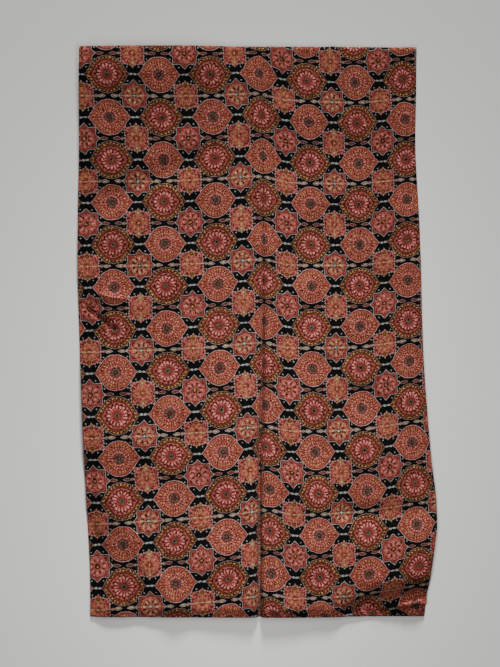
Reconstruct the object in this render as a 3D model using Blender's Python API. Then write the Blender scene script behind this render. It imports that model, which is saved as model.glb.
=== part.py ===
"""A length of block-printed ajrakh cloth, folded once lengthwise and laid on a flat surface.

One sheet makes both layers. The lower layer lies flat. The upper layer comes round the loose
fold at the right edge and lies over it, a little apart, with a pressed crease down the middle,
puffed flanks beside the crease, a small dent near the left edge and a cross ridge at the lower
right corner. Both ends are cut edges that sag on to the lower layer.

The frame has +Z up, +Y towards the far end, and its origin on the surface under the middle of
the cloth. The tables are in millimetres, and MM turns them into metres.
"""
from collections import namedtuple
import math

import bmesh
import bpy

MM = 0.001

CLOTH_THICKNESS = 1.5
# Height of the upper layer's middle where it comes down on the lower layer, a little apart.
REST_HEIGHT = 3.2

# The two ends at x = 0, and how far each runs off square over a unit of width.
FAR_END = 463.0
FAR_SLANT = 0.051
NEAR_END = -463.0
NEAR_SLANT = -0.045

# Each end sags by this share of its height over this distance from the cut edge.
FAR_SAG = 0.25
FAR_SAG_LENGTH = 40.0
NEAR_SAG = 0.45
NEAR_SAG_LENGTH = 16.0

# The left edge rises over this width by this share of the puff, and the rest comes by the crease.
EDGE_WIDTH = 28.0
EDGE_SHARE = 0.4

# Smallest bend radius of the sheet's middle at the fold.
TIGHTEST_BEND = 1.3

# Cross sections of the folded cloth, every 100 mm along y. left, crease and right are the upper
# layer's edge, crease and round fold in x; under_left is the lower layer's left edge. puff is
# the height beside the crease and dip the crease's depth below it, flank_left and flank_right are
# the widths of its two banks, and roll_height and roll_width are the size of the fold at the right.
Section = namedtuple(
    "Section", "y left crease right under_left puff dip flank_left flank_right roll_height roll_width")
SECTIONS = (
    Section(-500, -274.0, -4.5, 270.0, -268, 16.0, 12.4, 15, 10, 10.0, 20),
    Section(-400, -274.0, -4.5, 282.0, -268, 16.5, 12.8, 15, 10, 14.0, 28),
    Section(-300, -278.5, -4.5, 295.0, -270, 16.0, 12.2, 15, 9, 15.5, 30),
    Section(-200, -284.0, -4.0, 285.0, -278, 15.0, 10.5, 14, 9, 14.0, 26),
    Section(-100, -288.5, -0.5, 276.5, -281, 14.0, 8.5, 13, 9, 12.5, 20),
    Section(0, -292.0, 0.5, 271.5, -284, 13.0, 7.0, 12, 9, 11.0, 15),
    Section(100, -295.0, 0.5, 270.0, -288, 12.0, 5.0, 12, 10, 9.5, 12),
    Section(200, -295.0, 0.0, 266.0, -290, 11.0, 3.0, 13, 11, 8.0, 9),
    Section(300, -293.5, 0.0, 261.0, -287, 10.0, 2.2, 14, 12, 7.0, 7),
    Section(400, -294.0, 0.0, 263.0, -288, 9.0, 1.9, 14, 12, 6.5, 6),
    Section(500, -294.0, 0.0, 263.5, -289, 8.0, 1.6, 14, 12, 6.0, 5),
)

# Folds on top of that form: a line from (x1, y1) to (x2, y2), its height, and its half-width.
# In turn: the dent by the left edge and its bank; a swell, a trough, the ridge and the drop to
# the end at the near right corner; a slanting ridge and trough at the near left corner; the
# slanting valley at the far left and the rise behind it; a swell by the left edge; the valley
# across the right half; a swell beside the crease, the slope down to the fold, and a hollow in
# the right half.
Fold = namedtuple("Fold", "x1 y1 x2 y2 height width")
FOLDS = (
    Fold(-277, 34, -236, 0, -5.0, 8),
    Fold(-266, 52, -222, 44, 3.0, 9),
    Fold(204, -378, 280, -372, 4.0, 28),
    Fold(186, -441, 290, -429, -10.5, 17),
    Fold(200, -448, 292, -436, 5.5, 6),
    Fold(146, -458, 292, -470, -10.0, 19),
    Fold(-250, -255, -140, -440, 4.0, 17),
    Fold(-288, -305, -195, -460, -4.0, 17),
    Fold(-290, 182, -116, 276, -6.0, 18),
    Fold(-340, 380, -150, 490, 9.0, 90),
    Fold(-265, -160, -215, -160, 8.0, 75),
    Fold(134, -300, 290, -300, -5.5, 17),
    Fold(70, -270, 84, 70, 3.0, 34),
    Fold(286, -240, 276, 420, -5.0, 52),
    Fold(120, 250, 150, 60, -2.0, 40),
)

# Lengthwise grid, from the near end: each run covers a length in steps of about this size.
Run = namedtuple("Run", "length step")
RUNS = (
    Run(40, 5),
    Run(50, 9),
    Run(350, 25),
    Run(90, 11),
    Run(396, 28),
)

# Crosswise grid: places on a bank as shares of its width, and counts over the plain stretches.
BANK_STEPS = (0.0, 0.2, 0.5, 1.0)
RIGHT_STEPS = 9
LEFT_STEPS = 13
ROLL_STEPS = 7
UNDER_STEPS = 7

CLOTH_COLOUR = (0.13, 0.045, 0.034, 1.0)
CLOTH_ROUGHNESS = 0.62


def ease(t):
    """A smooth step from 0 at t = 0 to 1 at t = 1."""
    t = min(max(t, 0.0), 1.0)
    return t * t * (3 - 2 * t)


def smooth_value(a, b, c, d, t):
    """A smooth curve from b to c as t goes from 0 to 1, in line with a before and d after."""
    rise_b = (c - a) / 2
    rise_c = (d - b) / 2
    bend = 3 * (c - b) - 2 * rise_b - rise_c
    twist = 2 * (b - c) + rise_b + rise_c
    return b + t * (rise_b + t * (bend + t * twist))


def section_at(y):
    """The cross section at y, smooth between the table's rows."""
    spacing = SECTIONS[1].y - SECTIONS[0].y
    place = (y - SECTIONS[0].y) / spacing
    last = len(SECTIONS) - 1
    start = min(max(int(place), 0), last - 1)
    rows = [SECTIONS[min(max(start + k, 0), last)] for k in (-1, 0, 1, 2)]
    return Section(*(smooth_value(*column, place - start) for column in zip(*rows)))


def near_end(x):
    return NEAR_END + NEAR_SLANT * x


def far_end(x):
    return FAR_END + FAR_SLANT * x


def distance_to_fold(x, y, fold):
    """Distance from (x, y) to the fold's line."""
    along = (fold.x2 - fold.x1, fold.y2 - fold.y1)
    share = ((x - fold.x1) * along[0] + (y - fold.y1) * along[1]) / (along[0] ** 2 + along[1] ** 2)
    share = min(max(share, 0.0), 1.0)
    return math.hypot(x - fold.x1 - share * along[0], y - fold.y1 - share * along[1])


def upper_height(x, y, row):
    """Height of the upper layer's middle at (x, y)."""
    roll_start = row.right - row.roll_width
    if x < row.crease:
        bank = (row.crease - x) / row.flank_left
        across = (x - row.left) / (row.crease - row.left)
        edge = ease((x - row.left) / EDGE_WIDTH)
        rise = EDGE_SHARE * edge + (1 - EDGE_SHARE) * across
        crown = REST_HEIGHT + (row.puff - REST_HEIGHT) * rise
    else:
        bank = (x - row.crease) / row.flank_right
        across = (x - row.crease) / (roll_start - row.crease)
        crown = row.puff + (row.roll_height - row.puff) * ease(across)
    height = crown - row.dip * max(0.0, 1 - bank) ** 2
    for fold in FOLDS:
        height += fold.height * math.exp(-(distance_to_fold(x, y, fold) / fold.width) ** 2)
    sag = 1 - NEAR_SAG * (1 - ease((y - near_end(x)) / NEAR_SAG_LENGTH))
    sag *= 1 - FAR_SAG * (1 - ease((far_end(x) - y) / FAR_SAG_LENGTH))
    return REST_HEIGHT + max(0.0, height - REST_HEIGHT) * sag


def stations():
    """Shares of the length at which the cross sections stand, 0 at the near end."""
    places = [0.0]
    for run in RUNS:
        start = places[-1]
        count = round(run.length / run.step)
        places += [start + run.length * k / count for k in range(1, count + 1)]
    return [place / places[-1] for place in places]


def cross_section(share):
    """Points of the sheet's middle from the lower layer's left edge, round the fold, to the
    upper layer's left edge."""
    def place(x):
        return near_end(x) + (far_end(x) - near_end(x)) * share

    base = CLOTH_THICKNESS / 2
    row = section_at(place(0.0))
    crest = upper_height(row.right - row.roll_width, place(row.right), row)
    half_height = (crest - base) / 2
    roll_width = min(row.roll_width, half_height ** 2 / TIGHTEST_BEND)
    roll_start = row.right - roll_width
    points = []
    for k in range(UNDER_STEPS):
        x = row.under_left + (roll_start - row.under_left) * k / UNDER_STEPS
        points.append((x, base))
    for k in range(ROLL_STEPS):
        turn = math.pi * k / ROLL_STEPS
        x = roll_start + roll_width * math.sin(turn)
        points.append((x, base + half_height * (1 - math.cos(turn))))
    bank_end = row.crease + row.flank_right
    across = [roll_start + (bank_end - roll_start) * k / RIGHT_STEPS for k in range(RIGHT_STEPS)]
    across += [row.crease + row.flank_right * bank for bank in reversed(BANK_STEPS)]
    across += [row.crease - row.flank_left * bank for bank in BANK_STEPS[1:]]
    bank_end = row.crease - row.flank_left
    across += [bank_end + (row.left - bank_end) * math.sin(math.pi / 2 * k / LEFT_STEPS)
               for k in range(1, LEFT_STEPS + 1)]
    points += [(x, upper_height(x, place(x), row)) for x in across]
    return [(x * MM, place(x) * MM, z * MM) for x, z in points]


def cloth_material():
    material = bpy.data.materials.new("printed_cloth")
    material.use_nodes = True
    shader = material.node_tree.nodes["Principled BSDF"]
    shader.inputs["Base Color"].default_value = CLOTH_COLOUR
    shader.inputs["Roughness"].default_value = CLOTH_ROUGHNESS
    shader.inputs["Metallic"].default_value = 0.0
    return material


def build_cloth():
    """The sheet as a grid of its cross sections, thickened to both sides."""
    bm = bmesh.new()
    rows = [[bm.verts.new(point) for point in cross_section(share)] for share in stations()]
    for near, far in zip(rows, rows[1:]):
        for k in range(len(near) - 1):
            bm.faces.new((near[k], far[k], far[k + 1], near[k + 1]))
    bm.normal_update()
    mesh = bpy.data.meshes.new("ajrakh_cloth")
    bm.to_mesh(mesh)
    bm.free()
    mesh.shade_smooth()
    mesh.materials.append(cloth_material())
    cloth = bpy.data.objects.new("ajrakh_cloth", mesh)
    bpy.context.scene.collection.objects.link(cloth)
    solid = cloth.modifiers.new("thickness", "SOLIDIFY")
    solid.thickness = CLOTH_THICKNESS * MM
    solid.offset = 0.0
    return cloth


def main():
    for old in list(bpy.data.objects):
        bpy.data.objects.remove(old, do_unlink=True)
    build_cloth()


main()
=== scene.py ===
from collections import namedtuple
import math

import bpy
import numpy as np
from mathutils import Matrix, Vector, noise


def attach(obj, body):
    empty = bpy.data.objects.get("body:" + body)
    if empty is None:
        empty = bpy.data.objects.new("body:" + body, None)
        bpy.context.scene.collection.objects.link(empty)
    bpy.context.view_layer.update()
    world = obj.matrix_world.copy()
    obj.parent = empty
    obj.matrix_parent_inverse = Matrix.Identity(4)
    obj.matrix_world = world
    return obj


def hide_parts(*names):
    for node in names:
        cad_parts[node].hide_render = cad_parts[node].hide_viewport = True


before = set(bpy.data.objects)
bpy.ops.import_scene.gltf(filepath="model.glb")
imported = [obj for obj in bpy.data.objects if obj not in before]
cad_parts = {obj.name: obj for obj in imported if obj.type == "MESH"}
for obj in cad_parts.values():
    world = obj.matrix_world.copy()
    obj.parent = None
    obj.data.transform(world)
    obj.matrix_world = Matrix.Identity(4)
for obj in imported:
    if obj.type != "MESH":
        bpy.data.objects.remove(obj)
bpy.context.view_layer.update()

MM = 0.001

# The form of the folded cloth, as in its solid: the sheet and the height at which it rests, the
# two ends and how far they run off square, how they sag, and how the left edge rises.
SHEET_THICKNESS = 0.5
REST_HEIGHT = 2.2
FAR_END, FAR_SLANT = 463.0, 0.051
NEAR_END, NEAR_SLANT = -463.0, -0.045
FAR_SAG, FAR_SAG_LENGTH = 0.25, 40.0
NEAR_SAG, NEAR_SAG_LENGTH = 0.45, 16.0
EDGE_WIDTH, EDGE_SHARE = 28.0, 0.4
TIGHTEST_BEND = 1.3

# Cross sections of the cloth. left, crease and right are the upper layer's edge, crease and
# round fold in x; under_left is the lower layer's left edge. puff is the height beside the
# crease and dip the crease's depth below it, flank_left and flank_right are the widths of its
# banks, and roll_height and roll_width are the size of the fold at the right.
Section = namedtuple(
    "Section", "y left crease right under_left puff dip flank_left flank_right roll_height roll_width")
SECTIONS = (
    Section(-500, -274.0, -4.5, 270.0, -268, 16.0, 12.4, 15, 10, 10.0, 20),
    Section(-400, -274.0, -4.5, 282.0, -268, 16.5, 12.8, 15, 10, 14.0, 28),
    Section(-300, -278.5, -4.5, 295.0, -270, 16.0, 12.2, 15, 9, 15.5, 30),
    Section(-200, -284.0, -4.0, 285.0, -278, 15.0, 10.5, 14, 9, 14.0, 26),
    Section(-100, -288.5, -0.5, 276.5, -281, 14.0, 8.5, 13, 9, 12.5, 20),
    Section(0, -292.0, 0.5, 271.5, -284, 13.0, 7.0, 12, 9, 11.0, 15),
    Section(100, -295.0, 0.5, 270.0, -288, 12.0, 5.0, 12, 10, 9.5, 12),
    Section(200, -295.0, 0.0, 266.0, -290, 11.0, 3.0, 13, 11, 8.0, 9),
    Section(300, -293.5, 0.0, 261.0, -287, 10.0, 2.2, 14, 12, 7.0, 7),
    Section(400, -294.0, 0.0, 263.0, -288, 9.0, 1.9, 14, 12, 6.5, 6),
    Section(500, -294.0, 0.0, 263.5, -289, 8.0, 1.6, 14, 12, 6.0, 5),
)

# Folds on top of that form: a line from (x1, y1) to (x2, y2), its height, and its half-width.
# In turn: the dent by the left edge and its bank; a swell, a trough, the ridge and the drop to
# the end at the near right corner; a slanting ridge and trough at the near left corner; the
# slanting valley at the far left and the rise behind it; a swell by the left edge; the valley
# across the right half; a swell beside the crease, the slope down to the fold, and a hollow in
# the right half.
Fold = namedtuple("Fold", "x1 y1 x2 y2 height width")
FOLDS = (
    Fold(-277, 34, -236, 3, -1.6, 8),
    Fold(-266, 52, -222, 44, 3.0, 9),
    Fold(204, -384, 280, -378, 4.0, 28),
    Fold(186, -447, 290, -437, -10.5, 17),
    Fold(200, -455, 292, -445, 5.5, 6),
    Fold(146, -462, 292, -474, -10.0, 19),
    Fold(-250, -255, -140, -440, 4.0, 17),
    Fold(-288, -305, -195, -460, -4.0, 17),
    Fold(-290, 182, -116, 276, -6.0, 18),
    Fold(-340, 380, -150, 490, 9.0, 90),
    Fold(-265, -160, -215, -160, 8.0, 75),
    Fold(134, -300, 290, -300, -5.5, 17),
    Fold(70, -270, 84, 70, 3.0, 34),
    Fold(286, -240, 276, 420, -5.0, 52),
    Fold(120, 250, 150, 60, -2.0, 40),
)

# Narrow creases that only the looks have. In turn: the pinch in the dent, the swell round it
# and the two lips over it; the swell, the lip and the groove on the corner's ridge; a pressed
# wrinkle at the far end, and others over the middle.
CREASES = (
    Fold(-277, 31, -238, 3, -8.5, 2.7),
    Fold(-268, 28, -236, 16, 2.6, 22.0),
    Fold(-268, 60, -250, 52, 3.0, 2.6),
    Fold(-250, 52, -220, 49, 3.2, 2.6),
    Fold(196, -412, 284, -404, 4.0, 16.0),
    Fold(192, -458, 270, -450, 6.5, 3.2),
    Fold(188, -450, 272, -441, -3.0, 5.0),
    Fold(118, 470, 120, 424, 2.6, 6.5),
    Fold(-70, 190, 40, 110, 1.4, 14),
    Fold(60, 60, 150, 160, 1.6, 16),
    Fold(90, -60, 175, -20, -1.6, 15),
    Fold(-200, 40, -90, -40, 1.6, 18),
    Fold(-120, -180, -60, -330, -1.6, 16),
    Fold(150, 300, 210, 420, -1.8, 16),
    Fold(-230, -110, -110, -160, -1.8, 16),
)

# The sharp pinch down the crease's middle: its depth as a share of the dip, and its half-width.
# Its length is measured in fine steps over the banks.
PINCH_SHARE = 0.36
PINCH_WIDTH = 2.2
PINCH_REACH = 20.0
PINCH_STEPS = 800

# Soft unevenness of the lying sheet.
Swell = namedtuple("Swell", "height size")
SWELLS = (Swell(3.0, 80.0), Swell(1.4, 36.0), Swell(0.3, 13.0))

# Steps of the fine sheet. Each run covers a length in steps of about this size: along from the
# near end, and leftward from the crease's bank. They are finest at the corner's ridge and the
# dent. The steps of the banks crowd towards the crease.
Run = namedtuple("Run", "length step")
ALONG_RUNS = (Run(64, 2.3), Run(386, 5.8), Run(72, 1.5), Run(404, 5.8))
LEFT_RUNS = (Run(196, 6.0), Run(82, 1.6))
RIGHT_STEPS = 54
BANK_STEPS = 10
ROLL_STEPS = 18
UNDER_STEPS = 24
BANK_CROWDING = 1.3

# The print's lattice: the pitch of its columns and rows, its turn against the cloth's length,
# and where column 0 and row 0 lie on the unrolled cloth.
COLUMN_PITCH = 82.1
ROW_PITCH = 67.5
PRINT_TURN = math.radians(2.1)
FIRST_COLUMN = -235.6
FIRST_ROW = 412.0
# The x that keeps its place when the folds are unrolled, and how much cloth is nipped in at
# the crease, by y, with what the pinch takes up.
UNROLLED_FROM = -150.0
NIPS = {
    -500: 0.5, -400: 0.5, -300: 1.0, -200: 2.6, -100: 4.8, 0: 5.2,
    100: 5.8, 200: 5.0, 300: 4.2, 400: 3.2, 500: 2.2}

# How far the hand-set blocks slip along the cloth, by column, and across it, by column and by
# row.
SLIPS_ALONG = {
    -1.0: 1.5, 0.0: 1.5, 1.0: 1.0, 2.0: 2.5, 2.5: 6.0, 3.0: 6.8, 3.5: -3.5,
    4.0: -5.8, 5.0: -7.0, 5.5: -3.0, 6.0: 1.0, 6.5: 2.0, 8.0: 2.0}
SLIPS_ACROSS = {-1.0: 0.0, 1.0: 0.0, 2.0: 1.0, 3.0: 0.6, 4.0: -1.3, 5.0: -1.1, 6.0: 1.1}
ROW_SLIPS = {
    -1.0: 0.0, 0.0: 0.0, 1.0: 2.0, 2.0: 3.0, 3.0: 1.0, 5.0: 0.0, 7.0: -2.0,
    9.0: -1.5, 10.0: 1.0, 11.0: -0.5, 12.0: -1.3, 13.0: -1.3}


def ease(t):
    """A smooth step from 0 at t = 0 to 1 at t = 1."""
    t = min(max(t, 0.0), 1.0)
    return t * t * (3 - 2 * t)


def smooth_value(a, b, c, d, t):
    """A smooth curve from b to c as t goes from 0 to 1, in line with a before and d after."""
    rise_b = (c - a) / 2
    rise_c = (d - b) / 2
    bend = 3 * (c - b) - 2 * rise_b - rise_c
    twist = 2 * (b - c) + rise_b + rise_c
    return b + t * (rise_b + t * (bend + t * twist))


def section_at(y):
    """The cross section at y, smooth between the table's rows."""
    spacing = SECTIONS[1].y - SECTIONS[0].y
    place = (y - SECTIONS[0].y) / spacing
    last = len(SECTIONS) - 1
    start = min(max(int(place), 0), last - 1)
    rows = [SECTIONS[min(max(start + k, 0), last)] for k in (-1, 0, 1, 2)]
    return Section(*(smooth_value(*column, place - start) for column in zip(*rows)))


def near_end(x):
    return NEAR_END + NEAR_SLANT * x


def far_end(x):
    return FAR_END + FAR_SLANT * x


def distance_to_fold(x, y, fold):
    """Distance from (x, y) to the fold's line."""
    along = (fold.x2 - fold.x1, fold.y2 - fold.y1)
    share = ((x - fold.x1) * along[0] + (y - fold.y1) * along[1]) / (along[0] ** 2 + along[1] ** 2)
    share = min(max(share, 0.0), 1.0)
    return math.hypot(x - fold.x1 - share * along[0], y - fold.y1 - share * along[1])


def upper_height(x, y, row):
    """Height of the upper layer's middle at (x, y)."""
    roll_start = row.right - row.roll_width
    if x < row.crease:
        bank = (row.crease - x) / row.flank_left
        across = (x - row.left) / (row.crease - row.left)
        edge = ease((x - row.left) / EDGE_WIDTH)
        rise = EDGE_SHARE * edge + (1 - EDGE_SHARE) * across
        crown = REST_HEIGHT + (row.puff - REST_HEIGHT) * rise
    else:
        bank = (x - row.crease) / row.flank_right
        across = (x - row.crease) / (roll_start - row.crease)
        crown = row.puff + (row.roll_height - row.puff) * ease(across)
    height = crown - row.dip * max(0.0, 1 - bank) ** 2
    height -= PINCH_SHARE * row.dip * math.exp(-((x - row.crease) / PINCH_WIDTH) ** 2)
    for fold in FOLDS + CREASES:
        height += fold.height * math.exp(-(distance_to_fold(x, y, fold) / fold.width) ** 2)
    for swell in SWELLS:
        place = Vector((x / swell.size, y / swell.size, swell.height))
        height += swell.height * noise.noise(place)
    sag = 1 - NEAR_SAG * (1 - ease((y - near_end(x)) / NEAR_SAG_LENGTH))
    sag *= 1 - FAR_SAG * (1 - ease((far_end(x) - y) / FAR_SAG_LENGTH))
    return REST_HEIGHT + max(0.0, height - REST_HEIGHT) * sag


def stations(runs):
    """Places on a length as shares of it, from 0 to 1, in the steps of the runs."""
    places = [0.0]
    for run in runs:
        start = places[-1]
        count = round(run.length / run.step)
        places += [start + run.length * k / count for k in range(1, count + 1)]
    return [place / places[-1] for place in places]


def cross_section(share):
    """Points of the sheet's middle from the lower layer's left edge, round the fold, to the
    upper layer's left edge."""
    def place(x):
        return near_end(x) + (far_end(x) - near_end(x)) * share

    base = SHEET_THICKNESS / 2
    row = section_at(place(0.0))
    crest = upper_height(row.right - row.roll_width, place(row.right), row)
    half_height = (crest - base) / 2
    roll_width = min(row.roll_width, half_height ** 2 / TIGHTEST_BEND)
    roll_start = row.right - roll_width
    points = [(row.under_left + (roll_start - row.under_left) * k / UNDER_STEPS, base)
              for k in range(UNDER_STEPS)]
    for k in range(ROLL_STEPS):
        turn = math.pi * k / ROLL_STEPS
        points.append((roll_start + roll_width * math.sin(turn),
                       base + half_height * (1 - math.cos(turn))))
    bank_end = row.crease + row.flank_right
    across = [roll_start + (bank_end - roll_start) * k / RIGHT_STEPS for k in range(RIGHT_STEPS)]
    across += [row.crease + row.flank_right * (1 - k / BANK_STEPS) ** BANK_CROWDING
               for k in range(BANK_STEPS)]
    across += [row.crease - row.flank_left * (k / BANK_STEPS) ** BANK_CROWDING
               for k in range(BANK_STEPS)]
    bank_end = row.crease - row.flank_left
    across += [bank_end + (row.left - bank_end) * k for k in stations(LEFT_RUNS)]
    points += [(x, upper_height(x, place(x), row)) for x in across]
    return [(x, place(x), z) for x, z in points]


def unrolled(points):
    """Each point's x once the folds are pulled flat, with the upper layer's x = UNROLLED_FROM
    left where it is."""
    points = np.array(points)
    crease = UNDER_STEPS + ROLL_STEPS + RIGHT_STEPS + BANK_STEPS
    steps = np.hypot(np.diff(points[:, 0]), np.diff(points[:, 2]))
    flat = -np.concatenate(([0.0], np.cumsum(steps)))
    y = points[crease, 1]
    flat[:crease] += slip(NIPS, y) - pinch_take_up(section_at(y))
    kept = np.interp(-UNROLLED_FROM, -points[crease:, 0], flat[crease:])
    return flat - kept + UNROLLED_FROM


def pinch_take_up(row):
    """How much cloth the pinch takes up on its way down and up."""
    off = np.linspace(-PINCH_REACH, PINCH_REACH, PINCH_STEPS + 1)
    bank = np.where(off < 0, -off / row.flank_left, off / row.flank_right)
    plain = row.puff - row.dip * np.maximum(0.0, 1 - bank) ** 2
    pinched = plain - PINCH_SHARE * row.dip * np.exp(-(off / PINCH_WIDTH) ** 2)
    plain_length, pinched_length = (
        np.hypot(np.diff(off), np.diff(np.maximum(form, REST_HEIGHT))).sum()
        for form in (plain, pinched))
    return pinched_length - plain_length


def slip(table, place):
    """The table's value at a place, in a straight line between its entries."""
    return np.interp(place, list(table), list(table.values()))


def print_place(flat_x, y):
    """Column and row of the print's lattice at a place on the unrolled cloth."""
    across = flat_x * math.cos(PRINT_TURN) + y * math.sin(PRINT_TURN)
    along = -flat_x * math.sin(PRINT_TURN) + y * math.cos(PRINT_TURN)
    column = (across - FIRST_COLUMN) / COLUMN_PITCH
    row = (FIRST_ROW - along) / ROW_PITCH
    column -= (slip(SLIPS_ACROSS, column) + slip(ROW_SLIPS, row)) / COLUMN_PITCH
    row += slip(SLIPS_ALONG, column) / ROW_PITCH
    return column, row


def build_sheet():
    """The thin sheet, with the print's lattice as its UV map."""
    sections = [cross_section(share) for share in stations(ALONG_RUNS)]
    places = []
    for points in sections:
        flat = unrolled(points)
        y = np.array(points)[:, 1]
        places.append(np.column_stack(print_place(flat, y)))
    width = len(sections[0])
    faces = [(j * width + k, (j + 1) * width + k, (j + 1) * width + k + 1, j * width + k + 1)
             for j in range(len(sections) - 1) for k in range(width - 1)]
    mesh = bpy.data.meshes.new("cloth_sheet")
    mesh.from_pydata([[c * MM for c in point] for points in sections for point in points], [], faces)
    uv = mesh.uv_layers.new(name="print")
    corners = np.empty(len(mesh.loops), dtype=np.int32)
    mesh.loops.foreach_get("vertex_index", corners)
    uv.data.foreach_set("uv", np.concatenate(places)[corners].astype(np.float32).ravel())
    mesh.shade_smooth()
    sheet = bpy.data.objects.new("cloth_sheet", mesh)
    bpy.context.scene.collection.objects.link(sheet)
    solid = sheet.modifiers.new("thickness", "SOLIDIFY")
    solid.thickness = SHEET_THICKNESS * MM
    solid.offset = 0.0
    return sheet


def srgb(red, green, blue):
    """A colour given as on a screen, as the shader reads it."""
    def linear(value):
        value /= 255
        return value / 12.92 if value <= 0.04045 else ((value + 0.055) / 1.055) ** 2.4
    return (linear(red), linear(green), linear(blue), 1.0)


GROUND = srgb(16, 17, 17)
RED = srgb(130, 54, 46)
DEEP_RED = srgb(98, 36, 31)
DARK_RED = srgb(56, 24, 22)
BRIGHT_RED = srgb(140, 52, 52)
ORANGE = srgb(164, 92, 60)
PINK = srgb(176, 92, 82)
PALE_PINK = srgb(206, 124, 114)
PALE_GREY = srgb(168, 156, 146)
COOL_GREY = srgb(150, 166, 164)
OUTLINE = srgb(138, 104, 96)
PALE_LINE = srgb(172, 130, 120)
CREAM = srgb(192, 168, 128)
YELLOW = srgb(186, 130, 78)
OLIVE = srgb(64, 42, 24)
GREY_GREEN = srgb(108, 102, 82)
GREY_BROWN = srgb(104, 84, 74)
BROWN = srgb(48, 27, 20)

# Softness of the print's edges, half-width in millimetres.
BLEED = 0.28

# A ring of drops: its colour and radius, how many drops, the length and width of one, the first
# one's place round the ring in steps, and how much one widens outward. A ring with an inset
# follows the motif's border that far inside it.
Drops = namedtuple(
    "Drops", "colour radius count length width start flare inset", defaults=(0.0, 0.0, None))

# A round form, taller by lift and drawn out to a tip at each side.
Ogee = namedtuple("Ogee", "radius lift tip tip_width")

EYE_BORDER = Ogee(26.3, 2.4, 8.0, 0.21)
EYE_DROPS = (
    Drops(PINK, 24.0, 36, 2.2, 1.8, inset=3.4),
    Drops(BROWN, 20.0, 30, 2.8, 2.2, inset=7.2),
    Drops(YELLOW, 20.0, 30, 2.8, 2.2, start=0.5, inset=7.0),
    Drops(DARK_RED, 16.4, 26, 2.6, 2.0),
    Drops(PALE_PINK, 16.4, 26, 2.6, 2.1, start=0.5),
    Drops(BROWN, 13.4, 21, 2.5, 2.0, start=0.5),
    Drops(ORANGE, 13.4, 21, 2.6, 2.2),
    Drops(PALE_PINK, 10.6, 16, 2.5, 2.3, start=0.5),
)
EYE_HEART = 8.6
EYE_HEART_DROPS = (Drops(GREY_BROWN, 5.9, 9, 3.7, 3.1),)

MEDALLION_BORDER = Ogee(27.2, 2.3, 7.6, 0.22)
MEDALLION_SCALLOPS = 14
MEDALLION_DROPS = (
    Drops(YELLOW, 25.0, 30, 2.6, 2.3, start=0.5, inset=3.9),
    Drops(RED, 21.5, 30, 3.6, 2.2, inset=7.0),
)
MEDALLION_FIELD = Ogee(19.2, 1.4, 4.8, 0.26)
MEDALLION_RIM = 1.1
MEDALLION_SHADE, SHADE_STRENGTH = 16.2, 0.85
MEDALLION_PETALS = (
    Drops(PINK, 12.0, 16, 8.4, 3.0, flare=0.4),
    Drops(PALE_PINK, 13.4, 16, 4.8, 2.5, flare=0.3),
    Drops(DARK_RED, 17.8, 16, 3.4, 3.0),
    Drops(PINK, 18.6, 16, 2.6, 2.2, start=0.5),
    Drops(BRIGHT_RED, 7.2, 16, 4.2, 1.4, start=0.5, flare=0.5),
)
MEDALLION_HEART = 5.8

# The star's square, its diamond with the way that the diamond's sides face, the pale cross in
# its middle, and the dots round it.
STAR_WIDTH, STAR_HEIGHT = 18.9, 17.9
DIAMOND_FACE_X, DIAMOND_FACE_Y, DIAMOND_REACH = 0.72, 0.69, 17.6
CROSS_WIDTH, CROSS_REACH, CROSS_STRENGTH = 0.7, 4.6, 0.55
STAR_HEART = 1.6
STAR_DOTS = Drops(PALE_GREY, 24.4, 8, 2.3, 2.3, start=0.5)
DOT_STRENGTH = 0.7

# The square flower's border with its lobes and the crown in the middle, the palmettes above and
# below, and the beads outside the border.
FLOWER_WIDTH, FLOWER_HEIGHT = 17.2, 16.6
TOP_LOBE, SIDE_LOBE, LOBE_HEIGHT = 8.5, 7.4, 1.4
CROWN_HEIGHT, CROWN_SPREAD = 4.4, 26.0
FLOWER_DROPS = (
    Drops(PINK, 18.2, 4, 7.0, 6.4, start=0.5),
    Drops(DEEP_RED, 18.0, 4, 3.4, 2.8, start=0.5),
    Drops(PINK, 9.8, 8, 12.4, 5.4, flare=0.5),
    Drops(DARK_RED, 10.2, 8, 9.0, 3.4, flare=0.3),
    Drops(YELLOW, 9.4, 8, 6.6, 1.8, flare=0.3),
    Drops(ORANGE, 7.4, 8, 5.0, 1.6, start=0.5, flare=0.3),
    Drops(PINK, 14.2, 8, 3.6, 2.8, start=0.5),
    Drops(BROWN, 16.4, 16, 2.6, 1.9, start=0.25),
)
PALM_AT, PALM_WIDTH, PALM_HEIGHT = 16.2, 4.4, 4.0
PALM_CORE, PALM_CORE_STRENGTH = 0.5, 0.7
FLOWER_HEART = 1.8
BEAD_PITCH, BEAD_RADIUS, BEADS_OUT = 4.25, 1.2, 0.5
TOP_BEAD_START, SIDE_BEAD_START = 2.1, 1.8
BEAD_STRENGTH = 0.6

# Where the blocks meet, a pale streak runs over the stars and square flowers, faint elsewhere
# on the square flowers, and a star's petals turn partly yellow and cream.
STREAK_WIDTH, STREAK_BLEED = 0.5, 0.7
STREAK_STRENGTH, FAINT_STREAK = 0.5, 0.1
SEAM_YELLOW, SEAM_CREAM = 0.35, 0.7

# Small motifs between the large ones. The leaf's spread is half its length, squared; its rim
# and blade end that far inside its outline, and the rim is paler where the blocks meet.
LEAF_AT, LEAF_HEIGHT, LEAF_SPREAD = 10.6, 2.7, 46.0
LEAF_RIM, LEAF_BLADE = 0.9, 1.9
LEAF_PALENESS, SEAM_PALENESS = 0.1, 0.7
DASH_AT, DASH_LENGTH, DASH_WIDTH = 3.2, 3.0, 1.4
STALK_LENGTH, STALK_WIDTH = 8.0, 0.4
SPRIG_AT, SPRIG_WIDTH, SPRIG_HEIGHT = 22.4, 2.2, 2.4

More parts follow.
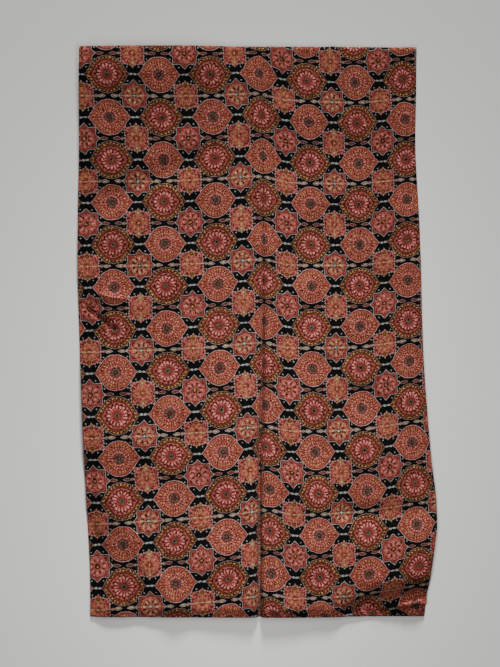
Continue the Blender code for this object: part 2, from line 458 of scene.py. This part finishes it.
# Noises over the cloth: the size of a blotch in millimetres, the detail, the roughness and the
# strength. The wobble shifts all the print, and the shiver the red dyes inside the motifs,
# which spread more unevenly than the outlines.
Cloud = namedtuple("Cloud", "size detail rough strength", defaults=(2.0, 0.5, 1.0))
WOBBLE = Cloud(7.0, 4.0, 0.7, strength=4.5)
SHIVER = Cloud(2.9, 2.0, 0.6, strength=7.5)
BROAD_TONE = Cloud(60.0, strength=0.3)
BLOTCHES = Cloud(6.0, 3.0, strength=0.7)
SPECKLE = Cloud(2.4, 2.0, 0.7, strength=1.9)
HUES = Cloud(3.0, 2.0, 0.7, strength=0.3)
SLUBS = Cloud(3.0, 4.0, strength=1.6)
ROUGHNESS = Cloud(12.0, strength=0.2)
LEAST_ROUGHNESS = 0.75

# How strong and how light the dyes are against the colours above, and the tone that is black.
DYE_DEPTH = 0.97
DYE_LIGHTNESS = 0.815
BLACK_TONE = 0.45

# The weave: the pitch of its threads in millimetres, their unevenness and strength. A wave
# texture turns through WAVE_RATE radians over a unit of its scale.
THREAD_PITCH = 0.45
THREAD_DISTORTION = 1.5
THREAD_STRENGTH = 0.5
WAVE_RATE = 20.0
RELIEF_STRENGTH = 0.35
RELIEF_HEIGHT = 0.4

# Sheen of the cotton's fuzz.
SHEEN_WEIGHT = 0.06
SHEEN_TINT = (1.0, 0.5, 0.4, 1.0)
SHEEN_ROUGHNESS = 0.45


class Field:
    """A number or colour that varies over the cloth, worked out by nodes. All of them are in one
    tree, and place is that tree's socket with the place on the cloth in millimetres."""

    tree = None
    place = None

    def __init__(self, socket):
        self.socket = socket

    def math(self, operation, *others):
        node = Field.tree.nodes.new("ShaderNodeMath")
        node.operation = operation
        for slot, value in zip(node.inputs, (self, *others)):
            feed(slot, value)
        return Field(node.outputs[0])

    def __add__(self, other):
        return self.math("ADD", other)

    def __sub__(self, other):
        return self.math("SUBTRACT", other)

    def __rsub__(self, other):
        return self.math("MULTIPLY_ADD", -1.0, other)

    def __mul__(self, other):
        return self.math("MULTIPLY", other)

    def __truediv__(self, other):
        return self.math("DIVIDE", other)

    def __abs__(self):
        return self.math("ABSOLUTE")


def feed(slot, value):
    if isinstance(value, Field):
        Field.tree.links.new(value.socket, slot)
    else:
        slot.default_value = value


def hypot(a, b):
    return (a * a + b * b).math("SQRT")


def rise(value, low, high):
    """0 below low and 1 above high; low may be the larger."""
    node = Field.tree.nodes.new("ShaderNodeMapRange")
    node.clamp = True
    for name, item in (("Value", value), ("From Min", low), ("From Max", high)):
        feed(node.inputs[name], item)
    return Field(node.outputs["Result"])


def inside(distance, edge=0.0, bleed=BLEED):
    """1 where the distance is below the edge."""
    return rise(distance, edge + bleed, edge - bleed)


def mix(under, over, mask, blend="MIX"):
    node = Field.tree.nodes.new("ShaderNodeMix")
    node.data_type = "RGBA"
    node.blend_type = blend
    feed(node.inputs["Factor"], mask)
    feed(node.inputs[6], under)
    feed(node.inputs[7], over)
    return Field(node.outputs[2])


def bands(value, stops, high=0.0):
    """Colours by value up to high: each stop is (value, colour), with soft changes between."""
    low = stops[0][0]
    node = Field.tree.nodes.new("ShaderNodeValToRGB")
    feed(node.inputs["Fac"], rise(value, low, high))
    ramp = node.color_ramp
    ramp.interpolation = "LINEAR"
    ramp.elements[0].position = 0.0
    ramp.elements[0].color = stops[0][1]
    ramp.elements.remove(ramp.elements[1])
    for (_, before), (edge, after) in zip(stops, stops[1:]):
        for side, colour in ((-BLEED, before), (BLEED, after)):
            place = (edge + side - low) / (high - low)
            ramp.elements.new(place).color = colour
    return Field(node.outputs["Color"])


def noise_over(cloud):
    """The noise of a cloud over the cloth, as a number and as a colour."""
    node = Field.tree.nodes.new("ShaderNodeTexNoise")
    node.inputs["Scale"].default_value = 1.0 / cloud.size
    node.inputs["Detail"].default_value = cloud.detail
    node.inputs["Roughness"].default_value = cloud.rough
    feed(node.inputs["Vector"], Field.place)
    return Field(node.outputs["Fac"]), Field(node.outputs["Color"])


def tone_over(cloud):
    """A cloud's noise as a number, at its strength."""
    return noise_over(cloud)[0] * cloud.strength


def split(vector):
    """The first two parts of a vector or colour."""
    node = Field.tree.nodes.new("ShaderNodeSeparateXYZ")
    feed(node.inputs[0], vector)
    return Field(node.outputs["X"]), Field(node.outputs["Y"])


class Polar:
    """Distances and turns about a motif's middle."""

    def __init__(self, x, y):
        self.x = x
        self.y = y
        self.radius = hypot(x, y)
        self.turn = y.math("ARCTAN2", x)
        self.lean = abs(y).math("ARCTAN2", abs(x))
        upright = y / self.radius
        self.upright = upright * upright

    def ogee(self, form):
        """Distance outward from an ogee form."""
        point = (self.lean * (-1.0 / form.tip_width)).math("EXPONENT")
        return self.radius - (self.upright * form.lift + point * form.tip + form.radius)

    def wave(self, count):
        """Between -1 and 1, count times round."""
        return (self.turn * float(count)).math("COSINE")

    def drops(self, ring, border=None):
        """Mask of a ring of drops. border is the distance outward from the motif's border."""
        offset = self.radius - ring.radius if ring.inset is None else border + ring.inset
        place = self.turn * (ring.count / (2 * math.pi)) + (ring.start + 0.5)
        across = (place.math("FRACT") - 0.5) * (2 * math.pi * ring.radius / ring.count)
        if ring.flare:
            across = across / (offset * (ring.flare / ring.length) + 1.0)
        reach = hypot(across / (ring.width / 2), offset / (ring.length / 2))
        return inside(reach, 1.0, 2 * BLEED / ring.width)


def add_drops(colour, polar, rings, border=None):
    """The colour with the rings of drops laid over it in turn."""
    for ring in rings:
        colour = mix(colour, ring.colour, polar.drops(ring, border))
    return colour


# In the four motifs, p is the place about the motif's middle and q the place shifted by the
# shiver. seam is 1 where the blocks meet. Each gives its colour and its mask.
def eye_roundel(p, q):
    """Round with a tip at each side, ringed with small drops about a grey flower."""
    edge = p.ogee(EYE_BORDER)
    colour = bands(edge, (
        (-12.0, RED), (-4.2, BRIGHT_RED), (-2.4, GROUND), (-1.2, PALE_LINE)))
    colour = add_drops(colour, q, EYE_DROPS, q.radius - p.radius + edge)
    heart = bands(q.radius, (
        (0.0, GREY_BROWN), (1.3, BROWN), (2.6, DEEP_RED), (3.6, BROWN), (EYE_HEART, DEEP_RED),
    ), high=12.0)
    heart = add_drops(heart, q, EYE_HEART_DROPS)
    colour = mix(colour, heart, inside(q.radius, EYE_HEART, bleed=0.9))
    return colour, inside(edge)


def medallion(p, q):
    """Olive border with two rows of small drops about a red flower of many petals."""
    edge = p.ogee(MEDALLION_BORDER) - abs(p.wave(MEDALLION_SCALLOPS))
    colour = bands(edge, (
        (-14.0, DARK_RED), (-8.6, OLIVE), (-2.0, GROUND), (-1.0, OUTLINE)))
    colour = add_drops(colour, q, MEDALLION_DROPS, q.radius - p.radius + edge)
    inner = p.ogee(MEDALLION_FIELD)
    field = bands(inner, (
        (-12.0, DEEP_RED), (-2.6, RED), (-0.8, PINK), (0.0, DARK_RED)), high=3.0)
    colour = mix(colour, field, inside(inner, MEDALLION_RIM))
    shade = inside(q.radius, MEDALLION_SHADE, bleed=1.2)
    colour = mix(colour, DARK_RED, shade * SHADE_STRENGTH)
    colour = add_drops(colour, q, MEDALLION_PETALS)
    heart = bands(q.radius, (
        (0.0, GROUND), (2.2, GREY_GREEN), (3.4, BROWN), (4.4, RED)), high=8.0)
    colour = mix(colour, heart, inside(q.radius, MEDALLION_HEART))
    return colour, inside(edge)


def star(p, q, seam):
    """Star made of a square and a diamond, with an eight-petalled flower; its middle is a pale
    cross where blocks meet."""
    across = abs(p.x)
    up = abs(p.y)
    square = (across - STAR_WIDTH).math("MAXIMUM", up - STAR_HEIGHT)
    diamond = across * DIAMOND_FACE_X + up * DIAMOND_FACE_Y - DIAMOND_REACH
    edge = square.math("MINIMUM", diamond)
    colour = bands(edge, (
        (-12.0, DARK_RED), (-6.0, OLIVE), (-4.6, RED), (-3.4, BRIGHT_RED), (-1.9, GROUND),
        (-0.8, PALE_GREY)))
    colour = add_drops(colour, q, (
        Drops(mix(PINK, YELLOW, seam * SEAM_YELLOW), 10.0, 8, 12.0, 5.4, flare=0.5),
        Drops(DEEP_RED, 10.2, 8, 8.6, 3.4, flare=0.4),
        Drops(mix(PALE_PINK, CREAM, seam * SEAM_CREAM), 10.6, 8, 5.4, 2.1),
        Drops(PINK, 14.6, 8, 3.6, 3.0, start=0.5),
        Drops(ORANGE, 5.4, 8, 3.0, 1.5, start=0.5),
    ))
    arms = inside(abs(q.x).math("MINIMUM", abs(q.y)), CROSS_WIDTH, bleed=0.6)
    cross = arms * inside(q.radius, CROSS_REACH, bleed=3.0) * seam
    colour = mix(colour, COOL_GREY, cross * CROSS_STRENGTH)
    colour = mix(colour, mix(YELLOW, COOL_GREY, seam), inside(q.radius, STAR_HEART))
    streak = inside(up, STREAK_WIDTH, STREAK_BLEED) * seam
    colour = mix(colour, CREAM, streak * STREAK_STRENGTH)
    return colour, inside(edge)


def lobes(along, pitch):
    """Height of the lobes along a border."""
    return abs((along * (math.pi / pitch)).math("COSINE")) * LOBE_HEIGHT


def beads(along, off, other):
    """Mask of the beads along one side of a border. off and other are the distances outward
    from that side and from the next one."""
    step = ((along / BEAD_PITCH).math("FRACT") - 0.5) * BEAD_PITCH
    return inside(hypot(step, off - BEADS_OUT), BEAD_RADIUS) * inside(other, 1.0)


def square_flower(p, q, seam):
    """Square with a crown of lobes above and below, about a flower like a cross. A pale streak
    runs over it where blocks meet. Gives also the mask of the beads round it."""
    across = abs(p.x)
    up = abs(p.y)
    crown = (across * across * (-1.0 / CROWN_SPREAD)).math("EXPONENT") * CROWN_HEIGHT
    top = up - crown - lobes(across, TOP_LOBE) - FLOWER_HEIGHT
    side = across - lobes(up, SIDE_LOBE) - FLOWER_WIDTH
    edge = top.math("MAXIMUM", side)
    colour = bands(edge, ((-10.0, DEEP_RED), (-3.6, RED), (-2.3, BROWN), (-1.1, PINK)))
    colour = add_drops(colour, q, FLOWER_DROPS)
    palm = hypot(p.x / PALM_WIDTH, (up - PALM_AT) / PALM_HEIGHT)
    palm_colour = bands(palm, ((0.0, ORANGE), (0.3, BROWN), (0.8, YELLOW)), high=1.3)
    palm_core = inside(palm, PALM_CORE, bleed=0.3) * (1.0 - seam)
    palm_colour = mix(palm_colour, CREAM, palm_core * PALM_CORE_STRENGTH)
    colour = mix(colour, palm_colour, inside(palm, 1.0, bleed=0.1))
    colour = mix(colour, YELLOW, inside(q.radius, FLOWER_HEART))
    streak = inside(up * seam + across * (1.0 - seam), STREAK_WIDTH, STREAK_BLEED)
    colour = mix(colour, CREAM, streak * (seam * STREAK_STRENGTH + FAINT_STREAK))
    top_beads = beads(across + TOP_BEAD_START, top, side)
    side_beads = beads(up + SIDE_BEAD_START, side, top)
    return colour, inside(edge), top_beads.math("MAXIMUM", side_beads)


def small_motifs(x, y, half, seam):
    """The ground with the small motifs: x and y are the place about the nearest roundel or
    medallion, and half the place about the nearest star or square flower."""
    across = abs(half.x)
    # Leaf on each side of the crossing above and below every roundel.
    leaf_x = abs(x) - LEAF_AT
    leaf = abs(half.y) - LEAF_HEIGHT + leaf_x * leaf_x * (LEAF_HEIGHT / LEAF_SPREAD)
    leaf_colour = mix(OUTLINE, PALE_GREY, seam * SEAM_PALENESS + LEAF_PALENESS)
    leaf_colour = mix(leaf_colour, mix(GROUND, OLIVE, seam), inside(leaf, -LEAF_RIM))
    leaf_colour = mix(leaf_colour, mix(RED, CREAM, seam), inside(leaf, -LEAF_BLADE))
    colour = mix(GROUND, leaf_colour, inside(leaf))
    # Dashes on a stalk between the tips of neighbours in a row.
    dash = hypot((across - DASH_AT) / DASH_LENGTH, y / DASH_WIDTH)
    colour = mix(colour, COOL_GREY, inside(dash, 1.0, bleed=0.25))
    stalk = abs(y).math("MAXIMUM", across - STALK_LENGTH)
    colour = mix(colour, OUTLINE, inside(stalk, STALK_WIDTH))
    # Dots in the hollows round each star and small leaves at its sides.
    colour = mix(colour, STAR_DOTS.colour, half.drops(STAR_DOTS) * DOT_STRENGTH)
    sprig = hypot((across - SPRIG_AT) / SPRIG_WIDTH, half.y / SPRIG_HEIGHT)
    return mix(colour, OUTLINE, inside(sprig, 1.0, bleed=0.3))


def block_print(column, row):
    """The print's colour at a place on its lattice."""
    wobble_x, wobble_y = split(noise_over(WOBBLE)[1])
    column = column + (wobble_x - 0.5) * (WOBBLE.strength / COLUMN_PITCH)
    row = row + (wobble_y - 0.5) * (WOBBLE.strength / ROW_PITCH)
    shiver_x, shiver_y = split(noise_over(SHIVER)[1])
    shiver_x = (shiver_x - 0.5) * SHIVER.strength
    shiver_y = (shiver_y - 0.5) * SHIVER.strength

    # Middles of the roundels and medallions, at whole columns and rows.
    whole_column = (column + 0.5).math("FLOOR")
    whole_row = (row + 0.5).math("FLOOR")
    x = (column - whole_column) * COLUMN_PITCH
    y = (row - whole_row) * -ROW_PITCH
    is_eye = (whole_column + whole_row).math("FLOORED_MODULO", 2.0)
    whole = Polar(x, y)
    whole_shaken = Polar(x + shiver_x, y + shiver_y)

    # Middles of the stars and square flowers, half a step on.
    low_column = column.math("FLOOR")
    low_row = row.math("FLOOR")
    x_half = (column - low_column - 0.5) * COLUMN_PITCH
    y_half = (row - low_row - 0.5) * -ROW_PITCH
    is_square = (low_column + low_row).math("FLOORED_MODULO", 2.0)
    half = Polar(x_half, y_half)
    half_shaken = Polar(x_half + shiver_x, y_half + shiver_y)
    seam = 1.0 - low_row.math("FLOORED_MODULO", 2.0)

    colour = small_motifs(x, y, half, seam)
    star_colour, star_mask = star(half, half_shaken, seam)
    square_colour, square_mask, bead = square_flower(half, half_shaken, seam)
    half_mask = star_mask + (square_mask - star_mask) * is_square
    colour = mix(colour, mix(star_colour, square_colour, is_square), half_mask)
    colour = mix(colour, PALE_GREY, bead * is_square * BEAD_STRENGTH)
    medal_colour, medal_mask = medallion(whole, whole_shaken)
    eye_colour, eye_mask = eye_roundel(whole, whole_shaken)
    whole_mask = medal_mask + (eye_mask - medal_mask) * is_eye
    return mix(colour, mix(medal_colour, eye_colour, is_eye), whole_mask)


def uneven_dye(colour):
    """The colour with a slight shift in hue, broad tone, blotches and fine speckle."""
    tone = tone_over(BROAD_TONE) + tone_over(BLOTCHES) + tone_over(SPECKLE)
    colour = mix(colour, noise_over(HUES)[1], HUES.strength, "OVERLAY")
    node = Field.tree.nodes.new("ShaderNodeHueSaturation")
    feed(node.inputs["Color"], colour)
    feed(node.inputs["Saturation"], DYE_DEPTH)
    feed(node.inputs["Value"], (tone - BLACK_TONE) * DYE_LIGHTNESS)
    return Field(node.outputs["Color"])


def threads(direction):
    """Ribs of the threads across this direction."""
    node = Field.tree.nodes.new("ShaderNodeTexWave")
    node.bands_direction = direction
    node.wave_profile = "SIN"
    node.inputs["Scale"].default_value = 2 * math.pi / (WAVE_RATE * THREAD_PITCH)
    node.inputs["Distortion"].default_value = THREAD_DISTORTION
    feed(node.inputs["Vector"], Field.place)
    return Field(node.outputs["Fac"]) * THREAD_STRENGTH


def cloth_material():
    """Matt cotton with the block print, a fine weave with slubs as relief, and faint sheen."""
    material = bpy.data.materials.new("block_print")
    material.use_nodes = True
    Field.tree = material.node_tree
    nodes = Field.tree.nodes
    uv = nodes.new("ShaderNodeUVMap")
    uv.uv_map = "print"
    column, row = split(Field(uv.outputs["UV"]))
    place = nodes.new("ShaderNodeCombineXYZ")
    feed(place.inputs["X"], column * COLUMN_PITCH)
    feed(place.inputs["Y"], row * ROW_PITCH)
    Field.place = Field(place.outputs[0])

    bump = nodes.new("ShaderNodeBump")
    feed(bump.inputs["Strength"], RELIEF_STRENGTH)
    feed(bump.inputs["Distance"], RELIEF_HEIGHT * MM)
    feed(bump.inputs["Height"], threads("X") + threads("Y") + tone_over(SLUBS))
    for name, value in (
            ("Base Color", uneven_dye(block_print(column, row))),
            ("Normal", Field(bump.outputs["Normal"])),
            ("Roughness", tone_over(ROUGHNESS) + LEAST_ROUGHNESS),
            ("Specular IOR Level", 0.0),
            ("Sheen Tint", SHEEN_TINT),
            ("Sheen Weight", SHEEN_WEIGHT),
            ("Sheen Roughness", SHEEN_ROUGHNESS)):
        feed(nodes["Principled BSDF"].inputs[name], value)
    return material


# The floor that the cloth lies on, a little below the origin.
FLOOR_SIZE = 6.0
FLOOR_HEIGHT = -0.0002
FLOOR_COLOUR = (0.72, 0.71, 0.69, 1.0)
FLOOR_ROUGHNESS = 0.8


def build_floor():
    bpy.ops.mesh.primitive_plane_add(size=FLOOR_SIZE, location=(0.0, 0.0, FLOOR_HEIGHT))
    floor = bpy.context.object
    floor.name = "floor"
    material = bpy.data.materials.new("pale_floor")
    material.use_nodes = True
    shader = material.node_tree.nodes["Principled BSDF"]
    shader.inputs["Base Color"].default_value = FLOOR_COLOUR
    shader.inputs["Roughness"].default_value = FLOOR_ROUGHNESS
    floor.data.materials.append(material)


# The photograph's view: its height in pixels and the real size of one, how far off the camera
# is, and how far it leans off the upright towards the cloth's left side and near end.
FRAME_HEIGHT = 667
PIXEL_SIZE = 0.00162
CAMERA_DISTANCE = 1.40
LEAN_LEFT = math.radians(8.6)
LEAN_NEAR = math.radians(1.0)
LOOK_AT = Vector((-0.0204, -0.0053, 0.006))


def build_camera():
    back = Vector((-math.sin(LEAN_LEFT), -math.sin(LEAN_NEAR), 0.0))
    back.z = math.sqrt(1.0 - back.length_squared)
    right = Vector((0.0, 1.0, 0.0)).cross(back).normalized()
    up = back.cross(right)
    camera = bpy.data.objects.new("camera", bpy.data.cameras.new("camera"))
    turn = Matrix((right, up, back)).transposed().to_4x4()
    camera.matrix_world = Matrix.Translation(LOOK_AT + back * CAMERA_DISTANCE) @ turn
    camera.data.sensor_fit = "AUTO"
    camera.data.lens = camera.data.sensor_width * CAMERA_DISTANCE / (FRAME_HEIGHT * PIXEL_SIZE)
    bpy.context.scene.collection.objects.link(camera)
    bpy.context.scene.camera = camera


# A low broad light from the far end, a small one overhead that falls off towards the edges as
# in the photograph, turned a little on the upright, and a faint even one all round.
SIDE_STRENGTH = 6.4
SIDE_PLACE = (0.1, 3.0, 0.90)
SIDE_SPREAD = math.radians(9.0)
KEY_STRENGTH = 2.75
KEY_PLACE = (-0.015, -0.14, 0.46)
KEY_WIDTH, KEY_LENGTH = 0.12, 0.8
KEY_TURN = math.radians(5.0)
ROOM_STRENGTH = 0.15


def add_light(name, kind, strength, place, aim):
    light = bpy.data.lights.new(name, kind)
    light.energy = strength
    lamp = bpy.data.objects.new(name, light)
    lamp.location = place
    lamp.rotation_euler = (Vector(aim) - Vector(place)).to_track_quat("-Z", "Y").to_euler()
    bpy.context.scene.collection.objects.link(lamp)
    return lamp


def build_lights():
    side = add_light("side", "SUN", SIDE_STRENGTH, SIDE_PLACE, (0.0, 0.0, 0.0))
    side.data.angle = SIDE_SPREAD
    key = add_light("key", "AREA", KEY_STRENGTH, KEY_PLACE, (*KEY_PLACE[:2], 0.0))
    key.rotation_euler.z -= KEY_TURN
    key.data.shape = "RECTANGLE"
    key.data.size = KEY_WIDTH
    key.data.size_y = KEY_LENGTH
    world = bpy.data.worlds.new("studio")
    world.use_nodes = True
    background = world.node_tree.nodes["Background"]
    background.inputs["Color"].default_value = (1.0, 1.0, 1.0, 1.0)
    background.inputs["Strength"].default_value = ROOM_STRENGTH
    bpy.context.scene.world = world


sheet = build_sheet()
sheet.data.materials.append(cloth_material())
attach(sheet, "root")
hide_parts("ajrakh_cloth")
build_floor()
build_lights()
build_camera()
